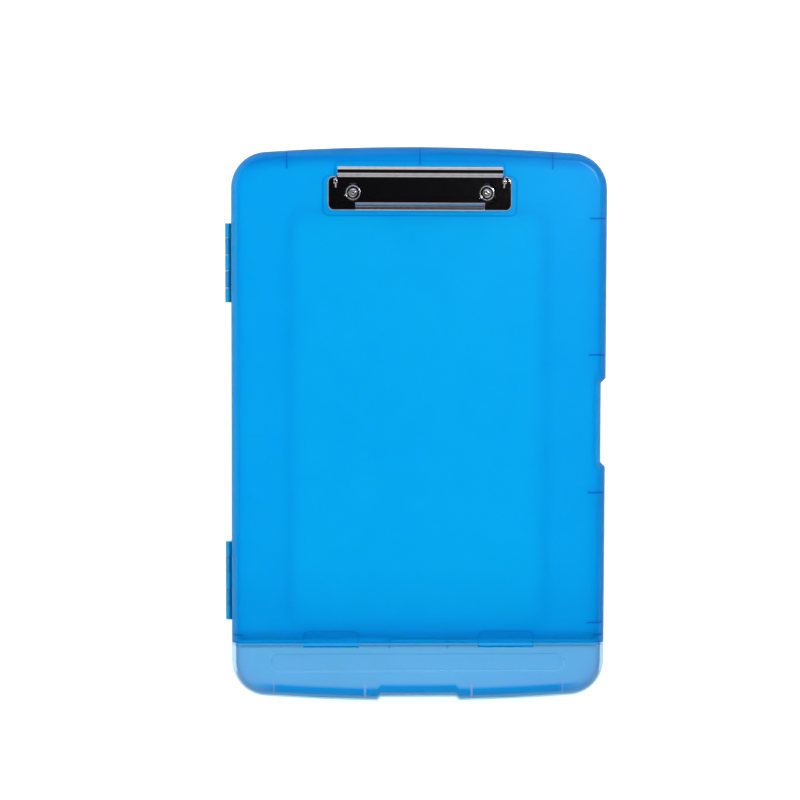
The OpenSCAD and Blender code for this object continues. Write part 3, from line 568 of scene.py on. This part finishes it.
RIM_OUTWARD, RIM_FLAT, RIM_SIDE, NOSE_Y = 30, 0.72, 3.4, -141.2
BARREL_LOW_Y, BARREL_HIGH_Y, BARREL_LOW_Z = -143.5, -139.3, 22
SHELF_HIGH_Y, SHELF_LOW_Z = -131.5, 20


def cover_rim(faces):
    """The rim of the pen flap: its steep outward faces, both side edges and the rounded upper edge."""
    flat = faces.over(faces.normal["Z"], RIM_FLAT)
    steep = faces.join("NIMPLY", faces.over(faces.outward, RIM_OUTWARD), flat)
    side = faces.over(faces.across, HALF_W - RIM_SIDE)
    return faces.join("OR", steep, side, faces.over(faces.place["Y"], NOSE_Y))


def lug_barrels(faces):
    """The barrels of the flap's hinge lugs, in the open between the lid and the flap."""
    return faces.between(BARREL_LOW_Y, BARREL_HIGH_Y, BARREL_LOW_Z)


def lug_shelves(faces):
    """The divider's top with the shelves that carry the lugs, close under the lid."""
    return faces.between(BARREL_HIGH_Y, SHELF_HIGH_Y, SHELF_LOW_Z)


def repaint(node, material, choose):
    """Gives the faces of a CAD node that choose picks a material of their own."""
    group, start, end = node_group(choose.__name__)
    paint = group.nodes.new("GeometryNodeSetMaterial")
    paint.inputs["Material"].default_value = material
    group.links.new(choose(FaceChoice(group)), paint.inputs["Selection"])
    group.links.new(start, paint.inputs["Geometry"])
    group.links.new(paint.outputs["Geometry"], end)
    nodes_of[node].modifiers.new(choose.__name__, "NODES").node_group = group


JOIN, SMOOTH = join_group(), smooth_group()


def dress(node, material, edge):
    """Gives a CAD node its material, small round edges and smooth shading; its flat faces stay flat."""
    piece = nodes_of[node]
    for slot in piece.material_slots:
        slot.material = material
    piece.modifiers.new("join", "NODES").node_group = JOIN
    plain = piece.modifiers.new("plain_faces", "DECIMATE")
    plain.decimate_type = "DISSOLVE"
    plain.angle_limit = math.radians(FLAT_ANGLE)
    rounding = piece.modifiers.new("edges", "BEVEL")
    rounding.width = edge * MM
    rounding.segments = 2
    rounding.limit_method = "ANGLE"
    rounding.angle_limit = math.radians(BEVEL_ANGLE)
    piece.modifiers.new("smooth", "NODES").node_group = SMOOTH
    weights = piece.modifiers.new("flat_faces", "WEIGHTED_NORMAL")
    weights.keep_sharp = True


for part in frame["record"]["subparts"]:
    finish = OWN_FINISH.get(part["node"], FINISH[part["material_slot"]])
    dress(part["node"], finish, EDGES.get(part["node"], PLAIN_EDGE))
# the flap's rim faces take the lighter copy, partly painted light
repaint("pen_flap", FROST_RIM_LIT, cover_rim)
repaint("base_tray", LUG_BLUE, lug_barrels)
repaint("base_tray", SHELF_BLUE, lug_shelves)

# ---------------------------------------------------------------- clip springs

WIRE_R, COIL_R, COIL_TURNS, TURN_STEPS = 0.25, 1.35, 12.5, 20
COIL_PITCH = 2 * WIRE_R * 1.07
SPRING_X = 24  # from the clip's middle to the middle of each coil
PLATE_LEG, LEVER_LEG, LEVER_LEG_RISE = 3.2, 2.6, 0.05
LEVER_LEG_TURN = range(150, 89, -10)  # degrees round the rod where the lever's leg leaves the coil


def plain_object(name, data):
    item = bpy.data.objects.new(name, data)
    bpy.context.scene.collection.objects.link(item)
    return item


def wire(name, points, body):
    """A round spring wire along points in millimetres, riding on a body."""
    curve = bpy.data.curves.new(name, "CURVE")
    curve.dimensions = "3D"
    curve.bevel_depth = WIRE_R * MM
    curve.bevel_resolution = 3
    curve.use_fill_caps = True
    spline = curve.splines.new("POLY")
    spline.points.add(len(points) - 1)
    for point, place in zip(spline.points, points):
        point.co = (*(Vector(place) * MM), 1)
    spline.use_smooth = True
    curve.materials.append(SPRING)
    item = plain_object(name, curve)
    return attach(item, body)


def on_coil(x, degrees):
    """A point of a coil round the pivot rod."""
    angle = math.radians(degrees)
    return x, ROD_Y + COIL_R * math.cos(angle), ROD_Z + COIL_R * math.sin(angle)


def make_spring(side):
    """Torsion spring on the pivot rod, with one leg on the base plate and one under the lever."""
    name = "left" if side < 0 else "right"
    start_x = side * (SPRING_X - COIL_TURNS * COIL_PITCH / 2)
    low = [(start_x, ROD_Y + PLATE_LEG, ROD_Z - COIL_R)]
    steps = range(int(COIL_TURNS * TURN_STEPS) + 1)
    coil = [on_coil(start_x + side * COIL_PITCH * i / TURN_STEPS, -90 - 360 * i / TURN_STEPS) for i in steps]
    end_x = coil[-1][0]
    high = [on_coil(end_x, degrees) for degrees in LEVER_LEG_TURN]
    high.append((end_x, ROD_Y + LEVER_LEG, ROD_Z + COIL_R + LEVER_LEG_RISE))
    body = wire(f"spring_coil_{name}", low + coil, "lid")
    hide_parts(f"clip_spring_{name}")
    wire(f"spring_leg_{name}", high, "lever")


for side in (-1, 1):
    make_spring(side)

# ---------------------------------------------------------------- stage

WORLD_LIGHT = 0.3
RAY_LEAST = 0.5  # a light or shade meant for one kind of ray reaches every other kind by this share
STUDIO_LEVELS = ((0.0, 0.7), (0.10, 0.7), (0.13, 0.12), (0.19, 0.12), (0.22, 0.85), (0.48, 0.85), (0.7, 0.06))
WHITE, NEAR_BLACK, BLACK = rgb(1, 1, 1), rgb(0.004, 0.004, 0.005), rgb(0, 0, 0)
FLOOR_HALF, FLOOR_DROP = 3, 0.0002
FLOOR_PLAIN, FLOOR_MIRRORED = rgb(0.8, 0.8, 0.8), rgb(0.12, 0.12, 0.12)
FLOOR_GLOW = {"Camera": 0.6, "Transmission": 0.92}


def sheet_mesh(name, half_w, half_l):
    mesh = bpy.data.meshes.new(name)
    corners = [(-half_w, -half_l, 0), (half_w, -half_l, 0), (half_w, half_l, 0), (-half_w, half_l, 0)]
    mesh.from_pydata(corners, [], [(0, 1, 2, 3)])
    return mesh


def stage_surface(item):
    """A material of its own for a piece of the stage, which glows white where its glow isn't 0."""
    material = bpy.data.materials.new(item.name)
    material.use_nodes = True
    item.data.materials.append(material)
    surface = material.node_tree.nodes["Principled BSDF"]
    surface.inputs["Specular IOR Level"].default_value = 0.0
    surface.inputs["Emission Color"].default_value = WHITE
    return material.node_tree, surface


def aim(item, place):
    """Puts a lamp or card at a place and turns it to the middle of the case."""
    item.location = place
    item.rotation_euler = (-Vector(place)).to_track_quat("-Z", "Y").to_euler()


def by_ray(tree, least, **strengths):
    """The highest strength given for this kind of ray, such as Camera=1, but never under the least."""
    path = tree.nodes.new("ShaderNodeLightPath")
    total = least
    for ray, strength in strengths.items():
        share = tree.nodes.new("ShaderNodeMath")
        share.operation = "MULTIPLY"
        share.inputs[1].default_value = strength
        tree.links.new(path.outputs[f"Is {ray} Ray"], share.inputs[0])
        most = tree.nodes.new("ShaderNodeMath")
        most.operation = "MAXIMUM"
        tree.links.new(share.outputs[0], most.inputs[0])
        set_or_link(tree, most.inputs[1], total)
        total = most.outputs[0]
    return total


def make_floor():
    """White floor that keeps a soft shadow and is darker in reflections, so that edges stay crisp."""
    floor = plain_object("floor", sheet_mesh("floor", FLOOR_HALF, FLOOR_HALF))
    floor.location.z = -FLOOR_DROP
    tree, surface = stage_surface(floor)
    mirrored = tree.nodes.new("ShaderNodeMath")
    mirrored.operation = "SUBTRACT"
    mirrored.use_clamp = True
    tree.links.new(by_ray(tree, RAY_LEAST, Glossy=1), mirrored.inputs[0])
    tree.links.new(by_ray(tree, RAY_LEAST, Transmission=1), mirrored.inputs[1])
    white = tree.nodes.new("ShaderNodeMix")
    white.data_type = "RGBA"
    values = {"Factor_Float": mirrored.outputs[0], "A_Color": FLOOR_PLAIN, "B_Color": FLOOR_MIRRORED}
    for socket in white.inputs:
        if socket.identifier in values:
            set_or_link(tree, socket, values[socket.identifier])
    tree.links.new(mixed(white), surface.inputs["Base Color"])
    surface.inputs["Roughness"].default_value = 1.0
    tree.links.new(by_ray(tree, RAY_LEAST, **FLOOR_GLOW), surface.inputs["Emission Strength"])


def make_card(name, place, size, colour, glow):
    """Flat card that only glossy rays see."""
    card = plain_object(name, sheet_mesh(name, *size))
    card.location = place
    surface = stage_surface(card)[1]
    surface.inputs["Base Color"].default_value = colour
    surface.inputs["Emission Strength"].default_value = glow
    card.visible_camera = card.visible_diffuse = card.visible_transmission = card.visible_shadow = False
    return card


def make_world():
    """White to the camera and through the plastic, and for gloss a studio that is dark overhead."""
    world = bpy.data.worlds.new("studio")
    bpy.context.scene.world = world
    world.use_nodes = True
    tree = world.node_tree
    background = tree.nodes["Background"]
    background.inputs["Color"].default_value = WHITE
    up = tree.nodes.new("ShaderNodeSeparateXYZ")
    tree.links.new(tree.nodes.new("ShaderNodeTexCoord").outputs["Generated"], up.inputs["Vector"])
    studio = tree.nodes.new("ShaderNodeValToRGB")
    stops = studio.color_ramp.elements
    while len(stops) < len(STUDIO_LEVELS):
        stops.new(1.0)
    for stop, (height, light) in zip(stops, STUDIO_LEVELS):
        stop.position = height
        stop.color = rgb(light, light, light)
    tree.links.new(up.outputs["Z"], studio.inputs["Fac"])
    level = WORLD_LIGHT
    for ray, light in ((by_ray(tree, RAY_LEAST, Camera=1, Transmission=1), 1.0),
                       (by_ray(tree, RAY_LEAST, Glossy=1), studio.outputs["Color"]),
                       (by_ray(tree, 0.0, Camera=1), 1.0)):
        choice = tree.nodes.new("ShaderNodeMix")
        choice.data_type = "FLOAT"
        for socket, value in (("A", level), ("B", light), ("Factor", ray)):
            set_or_link(tree, choice.inputs[socket], value)
        level = choice.outputs["Result"]
    tree.links.new(level, background.inputs["Strength"])


def make_lamp(name, place, size, power, glossy=False):
    data = bpy.data.lights.new(name, "AREA")
    data.shape = "RECTANGLE"
    data.size, data.size_y = size
    data.energy = power
    lamp = plain_object(name, data)
    aim(lamp, place)
    lamp.visible_glossy = glossy


make_floor()
make_card("dark_card", (0, 0.1, 1.6), (0.75, 0.75), NEAR_BLACK, glow=0.0)  # over the clip's flat chrome
CURL_PLACE = (0, 1.7, 1.3)
aim(make_card("pale_card", CURL_PLACE, (0.9, 0.4), BLACK, glow=0.9), CURL_PLACE)  # for the lever's curl
make_world()
make_lamp("softbox_left", (-1.5, 0.5, 1.1), (1.2, 1.6), 13)
make_lamp("softbox_right", (1.25, 1.0, 2.2), (0.9, 0.9), 10)
make_lamp("softbox_top", (0.0, 1.7, 1.3), (1.8, 0.9), 7.5)
make_lamp("softbox_front", (0.0, -1.6, 0.8), (1.8, 0.6), 6)
make_lamp("spot_corner", (0.465, 0.425, 1.5), (0.16, 0.16), 3.4, glossy=True)
